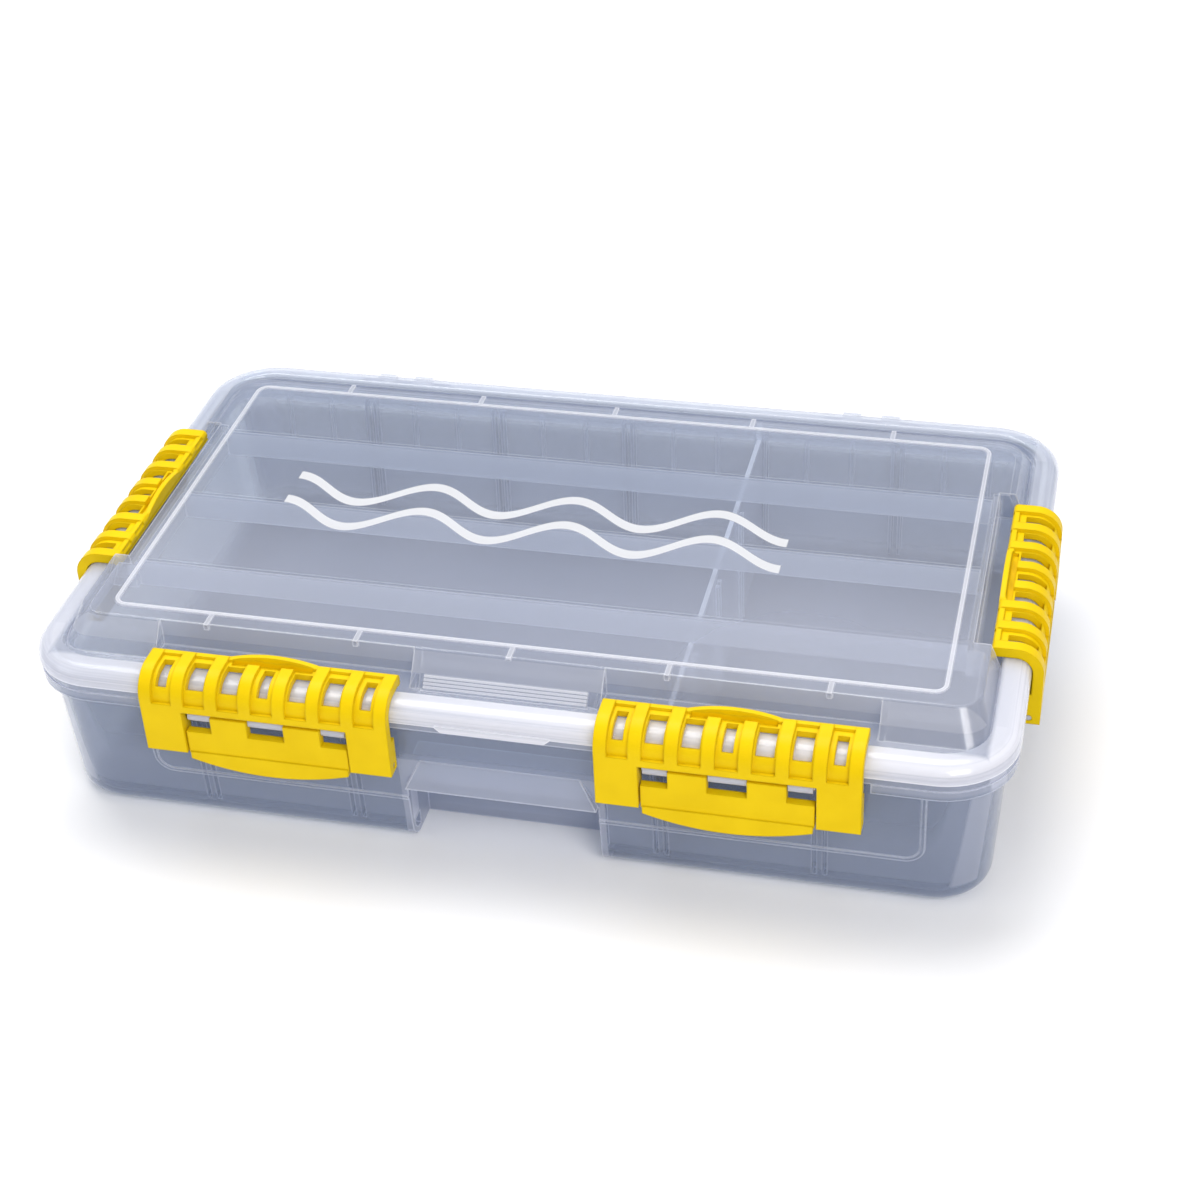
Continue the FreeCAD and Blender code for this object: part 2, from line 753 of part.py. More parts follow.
def make_divider():
    """The one full-depth divider, standing in the fourth of five slots, with three rib pairs."""
    thick = cell("divider_thick", 1.8)
    head = top - cell("divider_drop", 16.6)
    top_gap, foot_gap, floor_gap, corner = 0.9, 1.2, 0.1, 3
    reach_top = half_y - tray_top_inset - wall - top_gap
    reach_foot = half_y - tray_foot_inset - wall - foot_gap
    rise = inner_round
    low = floor_top + floor_gap
    sheet_body = prism(
        "divider_sheet",
        "YZ_Plane",
        [
            (-reach_foot + rise, low),
            (reach_foot - rise, low),
            (reach_foot, low + rise),
            (reach_top, head - corner),
            (reach_top - corner, head),
            (-reach_top + corner, head),
            (-reach_top, head - corner),
            (-reach_foot, low + rise),
        ],
        cell_pitch_x - thick / 2,
        thick,
    )
    rib_apart, rib_half, rib_out, foot_rise, head_fall = 1.9, 0.7, 1.5, 1, 4
    ribs = []
    for n in (-1, 0, 1):
        for hand in (-1, 1):
            y = rib_pitch_y * n + hand * rib_apart
            name = "divider_rib_%d_%s" % (n + 1, "a" if hand < 0 else "b")
            x = (cell_pitch_x, cell_pitch_x + thick / 2 + rib_out)
            ribs.append(block(name, x, (y - rib_half, y + rib_half), (low + foot_rise, head - head_fall)))
    return fuse("long_divider", [sheet_body] + ribs)


def make_hinge_pin(name, hand):
    reach = hinge_knuckle * 2.5
    centre = hinge_offset * hand
    return rod(name, centre - reach, centre + reach, half_y + hinge_out, top - hinge_drop, pin_radius)


# ---------------------------------------------------------------- latches


def hoop_section(name, start, end, outer):
    """The bent plate that goes up the outside of the rim and over its crest."""
    inner_radius = bead_round + plate_clear
    outer_radius = bead_round + outer
    arc_z = crest - bead_round
    whole = rod(name + "_round", start, end, bead_round, arc_z, outer_radius)
    hollow = rod(name + "_hollow", start - PAST, end + PAST, bead_round, arc_z, inner_radius)
    wide = (start - PAST, end + PAST)
    quarter = block(name + "_quarter", wide, (-outer - PAST, bead_round), (arc_z, top + PAST))
    shoulder = common(name + "_shoulder", cut(name + "_ring", whole, [hollow]), quarter)
    upright = block(name + "_upright", (start, end), (-outer, -plate_clear), (band_foot, arc_z))
    nose = (outer - plate_clear) / 2
    height = (crest + plate_clear, crest + outer)
    over = block(name + "_over", (start, end), (bead_round, hook_reach - nose), height)
    end_round = rod(name + "_nose", start, end, hook_reach - nose, crest + plate_clear + nose, nose)
    return [shoulder, upright, over, end_round]


def frame_windows(name):
    """Seven openings over the rim, the outer ones and the middle one narrow."""
    depth = (-window_out, bead_width - window_short)
    height = (crest - window_fall, top + PAST)
    tools = []
    for n in range(-3, 4):
        width = narrow_window if n in (-3, 0, 3) else wide_window
        x = window_pitch * n
        tools.append(block("%s_%d" % (name, n + 3), (x - width / 2, x + width / 2), depth, height))
    return tools


def finger_crest(name):
    """The crescent lip that stands along the middle of the hook edge."""
    half, rise, thick = 18, 3.0, 2.0
    radius = (half * half + rise * rise) / (2 * rise)
    disc = doc.addObject("Part::Cylinder", name + "_disc")
    disc.Radius = radius
    disc.Height = thick
    base = crest + plate_out
    turn = FreeCAD.Rotation(V(1, 0, 0), 90)
    place(disc, 0, hook_reach, base + rise - radius, turn)
    depth = (hook_reach - thick - PAST, hook_reach + PAST)
    embed = 1
    slab = block(name + "_slab", (-half, half), depth, (base - embed, base + rise + PAST))
    return common(name, disc, slab)


def frame_cheek(name, span):
    """One end of the frame below the rim, which carries the link pin."""
    block_in, block_drop = 2.4, 2
    plate = block(name + "_plate", span, (-flush_out, -plate_clear), (frame_foot, band_foot))
    body = block(name + "_block", span, (-flush_out, block_in), (frame_foot, pivot_height - block_drop))
    return [plate, body]


def hook_edge(label):
    """The inner edge of the frame: a strip across the hoops, the hook under it and the crescent."""
    span = (-latch_half, latch_half)
    strip_width, strip_set, strip_drop = 2, 0.6, 0.4
    strip_y = (hook_reach - strip_set - strip_width, hook_reach - strip_set)
    strip = block(label + "_hook_band", span, strip_y, (crest + plate_clear, crest + flush_out - strip_drop))
    hook_width, hook_drop, embed = 2, 0.3, 0.2
    hook_z = (crest - hook_drop, crest + plate_clear + embed)
    hook = block(label + "_hook", span, (hook_reach - hook_width, hook_reach), hook_z)
    return [strip, hook, finger_crest(label + "_crest")]


def make_frame(label, x, y, turn):
    """The outer frame of one latch: eight hoops over the rim, a band and two cheek blocks."""
    solids = hoop_section(label + "_plate", -latch_half, latch_half, plate_out)
    last = 7
    for n in range(last + 1):
        centre = window_pitch * (n - last / 2)
        if n in (0, last):
            centre = (latch_half - hoop_width / 2) * (-1 if n == 0 else 1)
        low, high = centre - hoop_width / 2, centre + hoop_width / 2
        solids += hoop_section("%s_hoop_%d" % (label, n), low, high, flush_out)
    band_y = (-flush_out, -plate_clear)
    solids.append(block(label + "_band", (-latch_half, latch_half), band_y, (band_foot, band_head)))
    inner = lever_half + lever_gap
    solids += frame_cheek(label + "_cheek_left", (-latch_half, -inner))
    solids += frame_cheek(label + "_cheek_right", (inner, latch_half))
    solids += hook_edge(label)
    tools = frame_windows(label + "_window")
    pocket_y = (hook_reach - pocket_start, hook_reach - pocket_end)
    pocket_z = (crest + plate_clear + pocket_floor, top + 2 * PAST)
    tools.append(block(label + "_pocket", (-pocket_half, pocket_half), pocket_y, pocket_z))
    tools.append(pin_bore(label + "_link_bore", latch_half + PAST, link_height))
    frame = cut(label + "_latch_frame", fuse(label + "_frame_solid", solids), tools)
    place(frame, x, y, 0, turn)
    return frame


def pin_bore(name, half, height):
    """A running hole for one of a latch's pins."""
    return rod(name, -half, half, pivot_inset, height, pin_radius + pin_gap)


def make_lever(label, x, y, turn):
    """The pull lever of one latch: two knuckles, the plate, a link barrel and a curved lip."""
    solids = []
    for hand, side in ((-1, "left"), (1, "right")):
        inner, outer = lug_half + lug_gap, outer_lug_start - lug_gap
        low, high = (inner, outer) if hand > 0 else (-outer, -inner)
        name = "%s_lever_%s" % (label, side)
        solids.append(rod(name + "_knuckle", low, high, pivot_inset, pivot_height, knuckle_radius))
        neck_z = (link_height, pivot_height + neck_rise)
        solids.append(block(name + "_neck", (low, high), (-lever_out, pivot_inset), neck_z))
    plate_back, plate_drop, barrel_less = 0.4, 0.2, 0.1
    plate_y = (-lever_out, pivot_inset - plate_back)
    plate_z = (frame_foot - plate_drop, pivot_height - knuckle_radius - window_drop)
    plate = block(label + "_lever_plate", (-lever_half, lever_half), plate_y, plate_z)
    barrel_radius = knuckle_radius - barrel_less
    barrel = rod(label + "_lever_barrel", -lever_half, lever_half, pivot_inset, link_height, barrel_radius)
    solids += [plate, barrel, lever_lip(label + "_lip")]
    bores = [
        pin_bore(label + "_lever_pivot_bore", lever_half, pivot_height),
        pin_bore(label + "_lever_link_bore", lever_half + PAST, link_height),
    ]
    lever = cut(label + "_latch_lever", fuse(label + "_lever_solid", solids), bores)
    place(lever, x, y, 0, turn)
    return lever


def lever_lip(name):
    """The pull lip below the lever: straight above, bowed below, and set outwards."""
    half, end_drop, bow, thick, head_rise = 29.5, 3, 4.6, 2.4, 0.6
    radius = (half * half + bow * bow) / (2 * bow)
    head = frame_foot + head_rise
    foot = head - end_drop - bow
    disc = doc.addObject("Part::Cylinder", name + "_disc")
    disc.Radius = radius
    disc.Height = thick
    place(disc, 0, -lip_out + thick, foot + radius, FreeCAD.Rotation(V(1, 0, 0), 90))
    depth = (-lip_out - PAST, -lip_out + thick + PAST)
    slab = block(name + "_slab", (-half, half), depth, (foot - PAST, head))
    return common(name, disc, slab)


def make_pin(name, half, height, x, y, turn):
    """A plain steel pin along the latch, centred on it."""
    pin = doc.addObject("Part::Cylinder", name)
    bind(pin, "Radius", pin_radius)
    bind(pin, "Height", half * 2)
    along = FreeCAD.Rotation(V(0, 1, 0), 90)
    spot = turn.multVec(V(-half.value, pivot_inset.value, 0))
    pin.Placement = FreeCAD.Placement(V(x.value, y.value, height.value) + spot, turn.multiply(along))
    return pin


# ---------------------------------------------------------------- assembly


def make_all():
    nodes = [make_tray(), make_lid(), make_gasket(), make_divider()]
    nodes += [make_hinge_pin("hinge_pin_left", -1), make_hinge_pin("hinge_pin_right", 1)]
    for label, x, y, degrees in LATCHES:
        turn = FreeCAD.Rotation(TURN_Z, degrees)
        nodes.append(make_frame(label, x, y, turn))
        nodes.append(make_lever(label, x, y, turn))
        nodes.append(make_pin(label + "_lever_pin", lever_half - pin_end_gap, pivot_height, x, y, turn))
        nodes.append(make_pin(label + "_link_pin", latch_half - pin_end_gap, link_height, x, y, turn))
    return nodes


def check(nodes):
    """Stops before anything is written if an object failed or a node isn't one sound solid."""
    failed = [o.Name for o in doc.Objects if "Invalid" in o.State or "Error" in o.State]
    if failed:
        raise RuntimeError("failed objects: %s" % ", ".join(failed))
    for node in nodes:
        shape = node.Shape
        if shape.isNull() or not shape.isValid() or len(shape.Solids) != 1:
            raise RuntimeError("%s: null, invalid or %d solids" % (node.Label, len(shape.Solids)))


nodes = make_all()
doc.recompute()
check(nodes)
os.makedirs("parts", exist_ok=True)
for node in nodes:
    node.Shape.exportStep("parts/%s.step" % node.Label)
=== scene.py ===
import math

import bpy
from mathutils import Euler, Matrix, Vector

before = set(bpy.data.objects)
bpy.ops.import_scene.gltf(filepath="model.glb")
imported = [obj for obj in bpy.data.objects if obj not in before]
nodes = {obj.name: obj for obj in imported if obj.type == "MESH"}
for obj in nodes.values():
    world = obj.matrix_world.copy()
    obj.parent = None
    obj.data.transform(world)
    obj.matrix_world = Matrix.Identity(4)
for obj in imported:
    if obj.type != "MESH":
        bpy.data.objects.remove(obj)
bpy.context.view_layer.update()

# Lengths are in metres, in the shared frame: x to the right, y to the back, z up.
SIDES = ("front_left", "front_right", "side_left", "side_right")
HALF_LENGTH = 0.178  # from the centre to the outside of the lid's rim, along x
HALF_WIDTH = 0.111  # the same along y
TOP = 0.074  # the top of the lid's dome

# Colours are linear, with an alpha of 1.
BODY_TINT = (0.30, 0.34, 0.44, 1.0)
# BODY_LIGHT and LID_LIGHT are the white of thick plastic; they also carry painted highlights on
# edges, at glancing angles and along the lid's rim.
BODY_LIGHT = (0.76, 0.78, 0.88, 1.0)
LID_TINT = (0.72, 0.73, 0.80, 1.0)
LID_LIGHT = (0.93, 0.93, 0.97, 1.0)
# The next colour is a painted dark reflection, laid where clear plastic is seen edge on.
PAINTED_OUTLINE = (0.32, 0.31, 0.38, 1.0)
SEEN_THROUGH = (0.90, 0.93, 0.97, 1.0)
PRINT_WHITE = (0.88, 0.88, 0.88, 1.0)
WHITE = (1.0, 1.0, 1.0, 1.0)
YELLOWS = ((0.76, 0.52, 0.001, 1.0), (0.81, 0.565, 0.002, 1.0))
RUBBERS = ((0.60, 0.60, 0.60, 1.0), (0.74, 0.74, 0.73, 1.0))
STEELS = ((0.42, 0.42, 0.43, 1.0), (0.66, 0.66, 0.68, 1.0))
FLOORS = ((0.86, 0.86, 0.87, 1.0), (0.90, 0.90, 0.90, 1.0))

# The parts of a noise texture's values that a ramp spreads out.
CLOUD_SPAN = (0.3, 0.7)
GRAIN_SPAN = (0.2, 0.8)
# The levels of a ramp that goes down.
FALLING = (1.0, 0.0)


# ------------------------------------------------------------------ node trees
class Graph:
    """A material's node tree with short calls for its nodes."""

    def __init__(self, name):
        self.material = bpy.data.materials.new(name)
        self.material.use_nodes = True
        self.tree = self.material.node_tree
        self.tree.nodes.clear()

    def node(self, kind, settings=None, **inputs):
        """A node. An input is named by its socket, or by i and its number where names repeat."""
        made = self.tree.nodes.new(kind)
        for key, value in (settings or {}).items():
            setattr(made, key, value)
        for key, value in inputs.items():
            self.feed(self.socket(made, key), value)
        return made

    def socket(self, made, key):
        if key.startswith("i") and key[1:].isdigit():
            return made.inputs[int(key[1:])]
        return made.inputs[key.replace("_", " ")]

    def feed(self, socket, value):
        if isinstance(value, bpy.types.NodeSocket):
            self.tree.links.new(value, socket)
        else:
            socket.default_value = value

    def math(self, operation, a, b=0.0, clamp=False):
        settings = {"operation": operation, "use_clamp": clamp}
        return self.node("ShaderNodeMath", settings, i0=a, i1=b).outputs[0]

    def times(self, first, *others):
        for other in others:
            first = self.math("MULTIPLY", first, other)
        return first

    def plus(self, first, *others):
        for other in others:
            first = self.math("ADD", first, other)
        return first

    def point(self):
        return self.node("ShaderNodeTexCoord").outputs["Object"]

    def place(self):
        """The point's own x, y and z in the shared frame at rest."""
        return self.node("ShaderNodeSeparateXYZ", None, Vector=self.point()).outputs

    def noise(self, scale, detail=3.0, stretch=(1, 1, 1)):
        moved = self.node("ShaderNodeMapping", None, Vector=self.point(), Scale=stretch)
        made = self.node("ShaderNodeTexNoise", None, Vector=moved.outputs[0], Scale=scale,
                         Detail=detail)
        return made.outputs["Fac"]

    def ramp(self, value, span, levels=(0.0, 1.0)):
        """From the first level to the second, smoothly, as value goes across span."""
        made = self.node("ShaderNodeMapRange", {"interpolation_type": "SMOOTHSTEP"}, Value=value,
                         From_Min=span[0], From_Max=span[1], To_Min=levels[0], To_Max=levels[1])
        return made.outputs[0]

    def blend(self, share, a, b):
        made = self.node("ShaderNodeMix", {"data_type": "RGBA"}, i0=share, i6=a, i7=b)
        return made.outputs[2]

    def bump(self, height, distance, strength):
        made = self.node("ShaderNodeBump", None, Strength=strength, Distance=distance,
                         Height=height)
        return made.outputs[0]

    def mix(self, share, a, b):
        """A shader that is b by share, and a for the rest."""
        return self.node("ShaderNodeMixShader", None, i0=share, i1=a.outputs[0], i2=b.outputs[0])

    def facing(self, blend, **inputs):
        """0 where the surface is seen square on, rising to 1 where it is seen edge on."""
        return self.node("ShaderNodeLayerWeight", None, Blend=blend, **inputs).outputs["Facing"]

    def surface(self, **inputs):
        """The finished material, with one principled shader."""
        return self.output(self.node("ShaderNodeBsdfPrincipled", None, **inputs))

    def output(self, shader):
        self.node("ShaderNodeOutputMaterial", None, Surface=shader.outputs[0])
        return self.material


def inside(g, value, centre, half):
    """1 where value is within half of centre, with soft edges."""
    soft = 0.0004
    away = g.math("ABSOLUTE", g.math("SUBTRACT", value, centre))
    return g.ramp(away, (half - soft, half + soft), FALLING)


def bevelled(g, radius):
    """The normal that the surface would have with its edges rounded."""
    return g.node("ShaderNodeBevel", {"samples": 4}, Radius=radius).outputs[0]


def plain_normal(g):
    """The normal with no relief."""
    return g.node("ShaderNodeNewGeometry").outputs["Normal"]


# ------------------------------------------------------------------ clear plastic
def wavy_print(g, x, y):
    """Two plain wavy stripes: a generic print for the lid."""
    centre_x = -0.014
    half_length = 0.098
    half_thickness = 0.0026
    half_spacing = 0.0085
    wave_height = 0.0075
    wave_length = 0.056
    along = g.math("SUBTRACT", x, centre_x)
    wave = g.times(g.math("SINE", g.times(along, 2 * math.pi / wave_length)), wave_height)
    level = g.math("SUBTRACT", y, wave)
    stripes = g.math("MAXIMUM", inside(g, level, -half_spacing, half_thickness),
                     inside(g, level, half_spacing, half_thickness))
    return g.times(stripes, inside(g, along, 0.0, half_length))


def print_mask(g, x, y, z):
    """1 where the stripes are, on the dome's upward face only."""
    dome = (TOP - 0.0006, TOP - 0.0002)
    upward = (0.8, 0.9)
    up = g.node("ShaderNodeSeparateXYZ", None, Vector=plain_normal(g)).outputs[2]
    return g.times(wavy_print(g, x, y), g.times(g.ramp(z, dome), g.ramp(up, upward)))


def edge_mask(g):
    """1 on the sharp edges of a piece, 0 away from them."""
    radius = 0.0011
    alike = (0.80, 0.985)
    meet = g.node("ShaderNodeVectorMath", {"operation": "DOT_PRODUCT"}, i0=bevelled(g, radius),
                  i1=plain_normal(g))
    return g.ramp(meet.outputs["Value"], alike, FALLING)


def clear_plastic(name, tint, light, haze, edge, milk_and_painted_light, printed=False):
    """Translucent moulded polypropylene. haze is the share of the view that a plain wall hides,
    edge is how much more it hides at glancing angles, and the function passed as milk adds more
    in named places: the white of thick plastic, and also painted light and shade."""
    glance_blend, glance_power = 0.35, 2.2
    cloud_share, rim_share = 0.04, 0.5
    thick_white, rim_white_and_highlight, glance_white_and_sheen = 2.0, 0.9, 0.5
    even_blend = 0.5
    outline_span, outline_levels = (0.75, 0.95), (0.0, 0.5)
    flow_stretch = (0.25, 2.0, 1.0)
    flow_height, grain_height = 0.7, 0.025
    relief_depth, relief_strength = 0.00022, 0.6
    roughness = (0.10, 0.20)
    glow_share = 0.42
    square_mirror, edge_mirror, mirror_power = 0.04, 0.96, 5.0

    g = Graph(name)
    x, y, z = g.place()
    cloud = g.ramp(g.noise(scale=9.0, detail=4.0), CLOUD_SPAN)
    grain = g.noise(scale=900.0, detail=2.0)
    flow = g.noise(scale=30.0, stretch=flow_stretch)
    glance = g.math("POWER", g.facing(glance_blend), glance_power)
    rim = edge_mask(g)
    # The second value is painted light and shade, given as more haze of the plastic's tint.
    thick, painted_light_share = milk_and_painted_light(g, x, y, z)

    share = g.plus(haze, g.times(glance, edge), g.times(cloud, cloud_share),
                   g.times(rim, rim_share))
    share = g.math("ADD", share, g.plus(thick, painted_light_share), clamp=True)
    # The white of sharp edges and of walls seen slantwise is partly the milky look of thick
    # plastic and partly a painted highlight and sheen.
    bright = g.plus(g.times(thick, thick_white), g.times(rim, rim_white_and_highlight))
    bright = g.math("ADD", bright, g.times(glance, glance_white_and_sheen), clamp=True)
    colour = g.blend(bright, tint, light)
    # Painted dark reflection where the surface is seen edge on.
    painted_outline = g.ramp(g.facing(even_blend), outline_span, outline_levels)
    colour = g.blend(painted_outline, colour, PAINTED_OUTLINE)
    if printed:
        mark = print_mask(g, x, y, z)
        colour = g.blend(mark, colour, PRINT_WHITE)
        share = g.math("MAXIMUM", share, mark)

    relief = g.plus(g.times(flow, flow_height), g.times(grain, grain_height))
    normal = g.bump(relief, relief_depth, relief_strength)
    matte = g.node("ShaderNodeBsdfDiffuse", None, Color=colour, Normal=normal)
    glow = g.node("ShaderNodeBsdfTranslucent", None, Color=colour, Normal=normal)
    through = g.node("ShaderNodeBsdfTransparent", None, Color=SEEN_THROUGH)
    wall = g.mix(share, through, g.mix(glow_share, matte, glow))
    shine = g.node("ShaderNodeBsdfAnisotropic", None, Color=WHITE, Normal=normal,
                   Roughness=g.ramp(grain, GRAIN_SPAN, roughness))
    slant = g.math("POWER", g.facing(even_blend, Normal=normal), mirror_power)
    mirror = g.plus(g.times(slant, edge_mirror), square_mirror)
    return g.output(g.mix(mirror, wall, shine))


# A milk function says how thick, and so how white, a piece is at each point, and how much
# painted light and shade it gets there as haze, without turning white. A pair is where a change
# starts and ends.
def lid_milk_and_painted_light(g, x, y, z):
    """The lid's rolled rim, raised line, grip lines and hanging ribs are thick and look white;
    the rim's white is streaked with painted highlights and painted lighter to the front. The lid
    is painted hazier, and so lighter, to the front and slightly to the right, as in the
    photograph: painted light."""
    rim_inside, rim_whole = 0.0115, 0.009
    streaks, streak_levels = (4.0, 4.0, 900.0), (0.32, 0.62)
    rim_fade_y, rim_fade_levels = (0.090, -0.100), (0.45, 1.0)
    line_z, line_white = (TOP + 0.0001, TOP + 0.0004), 0.45
    slope_foot_z, slope_head_z = (TOP - 0.0072, TOP - 0.0066), (TOP - 0.0009, TOP - 0.0004)
    slope_y, slope_white = (0.0835, 0.0845), 0.14
    rib_x, rib_y, rib_z = (0.156, 0.160), (0.080, 0.084), (TOP - 0.0035, TOP - 0.0025)
    rib_white = 0.42
    front_y, front_levels = (0.030, -0.070), (0.0, 0.17)
    right_x, right_levels = (0.02, 0.10), (0.0, 0.05)

    ax, ay = g.math("ABSOLUTE", x), g.math("ABSOLUTE", y)
    rim = g.math("MAXIMUM",
                 g.ramp(ax, (HALF_LENGTH - rim_inside, HALF_LENGTH - rim_whole)),
                 g.ramp(ay, (HALF_WIDTH - rim_inside, HALF_WIDTH - rim_whole)))
    # Painted highlights: streaks along the rim, which is also painted lighter to the front than
    # to the back.
    painted_highlight_streaks = g.ramp(g.noise(scale=1.0, detail=2.0, stretch=streaks), CLOUD_SPAN, streak_levels)
    rim_white_and_highlight = g.times(painted_highlight_streaks, g.ramp(y, rim_fade_y, rim_fade_levels))
    lines = g.math("MAXIMUM", g.ramp(z, line_z), grip_mask(g, ax, y, z))
    slope = g.times(g.ramp(z, slope_foot_z), g.ramp(z, slope_head_z, FALLING),
                    g.ramp(ay, slope_y))
    within = g.times(g.ramp(ax, rib_x, FALLING), g.ramp(ay, rib_y, FALLING))
    ribs = g.times(g.ramp(z, rib_z, FALLING), within)
    thick = g.plus(g.times(rim, rim_white_and_highlight), g.times(lines, line_white),
                   g.times(slope, slope_white), g.times(ribs, rib_white))
    # Painted light: more haze of the lid's tint, and so a lighter lid, to the front and to the
    # right.
    return thick, g.plus(g.ramp(y, front_y, front_levels), g.ramp(x, right_x, right_levels))


def grip_mask(g, ax, y, z):
    """1 on the raised grip lines in the middle of the dome's front slope, which comes down
    forwards from the dome's top at y = -slope_head."""
    slope_head, slope_rise = HALF_WIDTH - 0.0265, 11.0 / 9.5
    proud_span = (0.0003, 0.0005)
    middle_x, back_y, front_y = (0.0300, 0.0305), (-0.084, -0.085), (-0.0950, -0.0945)
    slope_height = g.times(g.plus(y, slope_head), slope_rise)
    proud = g.math("SUBTRACT", g.math("SUBTRACT", z, TOP), slope_height)
    middle = g.times(g.ramp(ax, middle_x, FALLING), g.ramp(y, back_y), g.ramp(y, front_y))
    return g.times(g.ramp(proud, proud_span), middle)


def tray_milk_and_painted_shade(g, x, y, z):
    """The tray's flange, slot ribs, notch ramp and latch lugs are thick and look white.
    Its floor and its back wall get painted shade, and the floor's painted shade is darker to the
    back."""
    flange_z, flange_levels = (0.0535, 0.0560), (0.0, 0.18)
    slot_outer_y, slot_inner_y = (0.1035, 0.1025), (0.0960, 0.0970)
    slot_z, slot_levels = (0.008, 0.010), (0.0, 0.20)
    ramp_x, ramp_y = (0.0372, 0.0378), (-0.080, -0.082)
    ramp_z, ramp_levels = (0.0415, 0.0400), (0.0, 0.20)
    lug_centre, lug_half, lug_white = 0.0825, 0.031, 0.5
    lug_x, lug_y, lug_z = (0.1742, 0.1748), (-0.1072, -0.1078), (0.0578, 0.0574)
    floor_y, floor_z, floor_levels = (-0.060, 0.040), (0.002, 0.006), (0.10, 0.34)
    back_y, back_z, back_levels = (0.090, 0.100), (0.054, 0.046), (0.0, 0.28)

    ax, ay = g.math("ABSOLUTE", x), g.math("ABSOLUTE", y)
    flange = g.ramp(z, flange_z, flange_levels)
    slots = g.times(g.ramp(ay, slot_outer_y), g.ramp(ay, slot_inner_y),
                    g.ramp(z, slot_z, slot_levels))
    ramp = g.times(g.ramp(y, ramp_y), g.ramp(ax, ramp_x, FALLING),
                   g.ramp(z, ramp_z, ramp_levels))
    front_lugs = g.times(inside(g, ax, lug_centre, lug_half), g.ramp(y, lug_y))
    side_lugs = g.times(inside(g, ay, 0.0, lug_half), g.ramp(ax, lug_x))
    lugs = g.times(g.math("MAXIMUM", front_lugs, side_lugs), g.ramp(z, lug_z))
    thick = g.plus(flange, slots, ramp, g.times(lugs, lug_white))

    # Painted shade: the floor darker to the back, and the back wall darker lower down.
    painted_floor_shade = g.times(g.ramp(z, floor_z, FALLING), g.ramp(y, floor_y, floor_levels))
    back = g.times(g.ramp(y, back_y), g.ramp(z, back_z, back_levels))
    return thick, g.plus(painted_floor_shade, back)


def divider_milk(g, x, y, z):
    """The divider's top edge is seen along its length, so it looks white."""
    top_z, top_levels = (0.0550, 0.0562), (0.0, 0.9)
    return g.ramp(z, top_z, top_levels), 0.0


# ------------------------------------------------------------------ other materials
def yellow_plastic():
    g = Graph("latch_yellow")
    cloud = g.ramp(g.noise(scale=60.0), CLOUD_SPAN)
    grain = g.noise(scale=1400.0, detail=2.0)
    relief = g.node("ShaderNodeBump", None, Strength=0.35, Distance=0.00008, Height=grain,
                    Normal=bevelled(g, radius=0.0009)).outputs[0]
    rough = g.ramp(grain, GRAIN_SPAN, levels=(0.30, 0.46))
    return g.surface(Base_Color=g.blend(cloud, *YELLOWS), Roughness=rough, IOR=1.48,
                     Normal=relief, Specular_IOR_Level=0.1)


def rubber():
    g = Graph("gasket_rubber")
    cloud = g.noise(scale=80.0)
    grain = g.noise(scale=1600.0, detail=2.0)
    rough = g.ramp(grain, GRAIN_SPAN, levels=(0.55, 0.8))
    relief = g.bump(grain, distance=0.0001, strength=0.5)
    return g.surface(Base_Color=g.blend(cloud, *RUBBERS), Roughness=rough, Normal=relief)


def drawn_steel():
    g = Graph("pin_steel")
    lines = g.noise(scale=900.0, detail=2.0, stretch=(0.05, 1.0, 1.0))
    rough = g.ramp(lines, GRAIN_SPAN, levels=(0.22, 0.42))
    relief = g.bump(lines, distance=0.00005, strength=0.4)
    return g.surface(Base_Color=g.blend(lines, *STEELS), Metallic=1.0, Roughness=rough,
                     Normal=relief)


def pale_floor():
    g = Graph("floor_paint")
    cloud = g.noise(scale=3.0, detail=4.0)
    relief = g.bump(g.noise(scale=220.0), distance=0.0002, strength=0.2)
    return g.surface(Base_Color=g.blend(cloud, *FLOORS), Roughness=0.6, Normal=relief)


# ------------------------------------------------------------------ looks
def paint(name, material):
    piece = nodes[name]
    if not piece.data.materials:
        piece.data.materials.append(material)
    for index in range(len(piece.data.materials)):
        piece.data.materials[index] = material


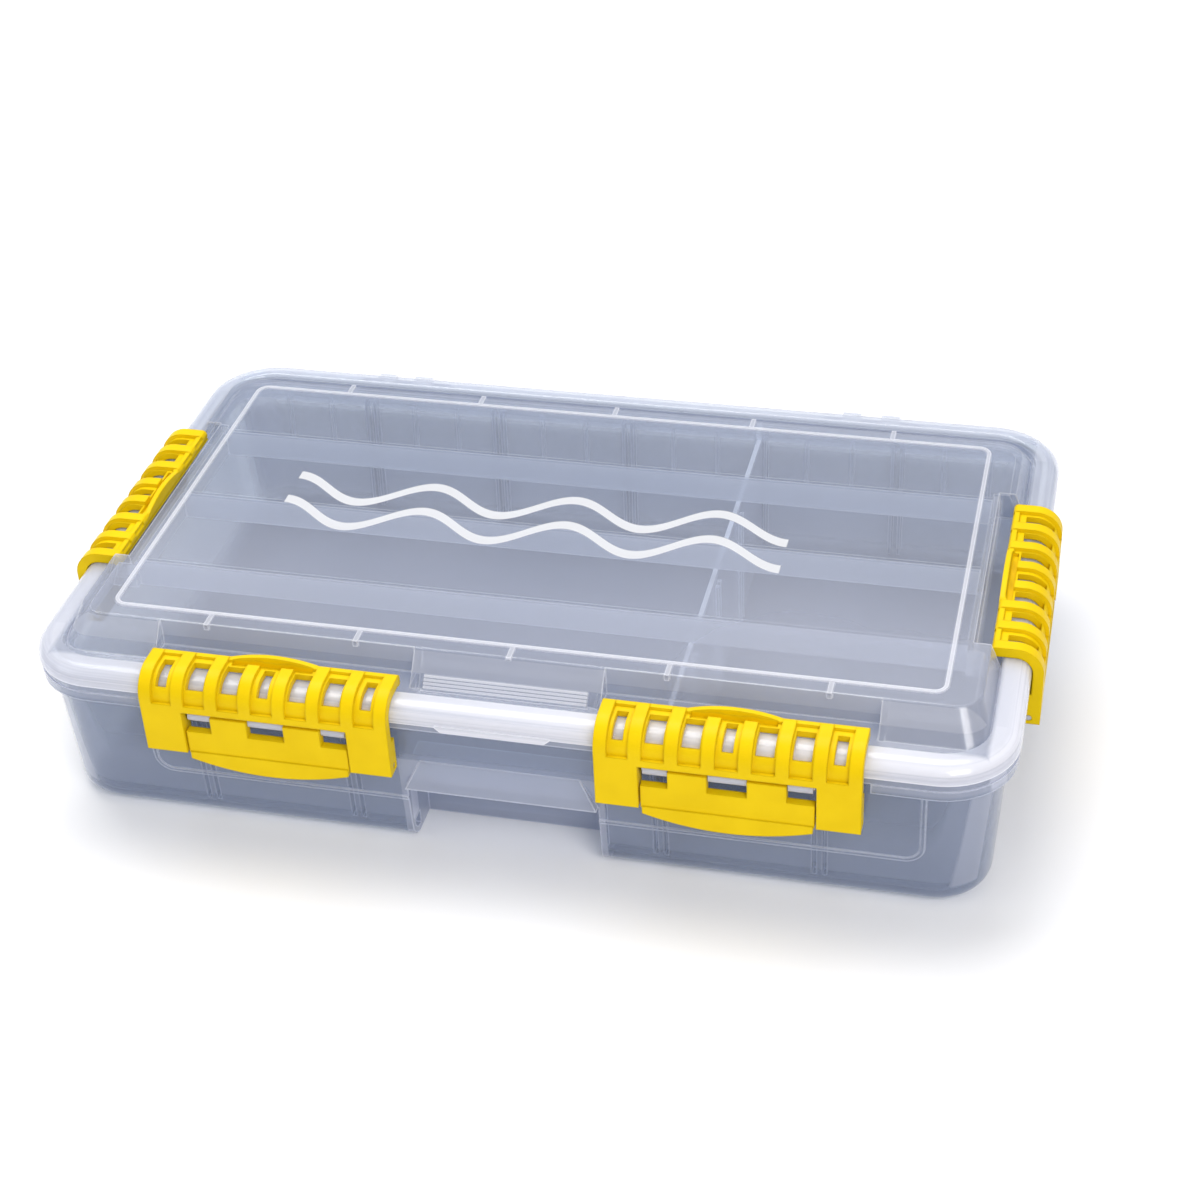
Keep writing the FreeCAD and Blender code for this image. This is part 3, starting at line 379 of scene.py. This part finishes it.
def paint_all():
    tray_look = clear_plastic("tray_clear", BODY_TINT, BODY_LIGHT, haze=0.34, edge=0.35,
                              milk_and_painted_light=tray_milk_and_painted_shade)
    lid_look = clear_plastic("lid_clear", LID_TINT, LID_LIGHT, haze=0.07, edge=0.25,
                             milk_and_painted_light=lid_milk_and_painted_light, printed=True)
    divider_look = clear_plastic("divider_clear", LID_LIGHT, LID_LIGHT, haze=0.36, edge=0.35,
                                 milk_and_painted_light=divider_milk)
    yellow = yellow_plastic()
    steel = drawn_steel()
    paint("base_tray", tray_look)
    paint("lid", lid_look)
    paint("long_divider", divider_look)
    paint("lid_gasket", rubber())
    for side in ("left", "right"):
        paint(f"hinge_pin_{side}", steel)
    for side in SIDES:
        for part in ("latch_frame", "latch_lever"):
            paint(f"{side}_{part}", yellow)
        for part in ("lever_pin", "link_pin"):
            paint(f"{side}_{part}", steel)


# ------------------------------------------------------------------ stage
def floor():
    width, drop = 14.0, 0.0004
    bpy.ops.mesh.primitive_plane_add(size=width, location=(0, 0, -drop))
    made = bpy.context.object
    made.name = "floor"
    made.data.materials.append(pale_floor())


def area_light(name, place, aim, size, power, colour=(1, 1, 1)):
    data = bpy.data.lights.new(name, "AREA")
    data.shape = "RECTANGLE"
    data.size, data.size_y = size
    data.energy = power
    data.color = colour
    made = bpy.data.objects.new(name, data)
    bpy.context.scene.collection.objects.link(made)
    made.location = place
    direction = Vector(place) - Vector(aim)
    made.rotation_euler = direction.to_track_quat("Z", "Y").to_euler()


def studio():
    sky, sky_strength = (0.95, 0.96, 1.0, 1.0), 0.55
    warm, cool = (1.0, 0.97, 0.94), (0.92, 0.96, 1.0)
    world = bpy.data.worlds.new("studio")
    bpy.context.scene.world = world
    world.use_nodes = True
    background = world.node_tree.nodes["Background"]
    background.inputs["Color"].default_value = sky
    background.inputs["Strength"].default_value = sky_strength
    area_light("overhead", (-0.3, 0.5, 1.5), aim=(0, 0, 0), size=(1.4, 1.0), power=22)
    area_light("key", (0.9, -1.2, 1.3), aim=(0, 0, 0), size=(0.8, 0.8), power=16, colour=warm)
    area_light("fill", (-1.4, -0.8, 0.8), aim=(0, 0, 0.03), size=(0.8, 0.8), power=3,
               colour=cool)


def camera():
    """The camera that was fitted to the photograph."""
    lens_mm, sensor_mm = 69.16, 36.0
    place = (0.1978, -0.6961, 0.5581)
    turn_degrees = (54.244, 2.434, 13.246)
    data = bpy.data.cameras.new("camera")
    data.lens = lens_mm
    data.sensor_width = sensor_mm
    made = bpy.data.objects.new("camera", data)
    bpy.context.scene.collection.objects.link(made)
    made.location = place
    made.rotation_euler = Euler([math.radians(angle) for angle in turn_degrees])
    bpy.context.scene.camera = made


paint_all()
floor()
studio()
camera()
bpy.context.scene.view_settings.view_transform = "Standard"
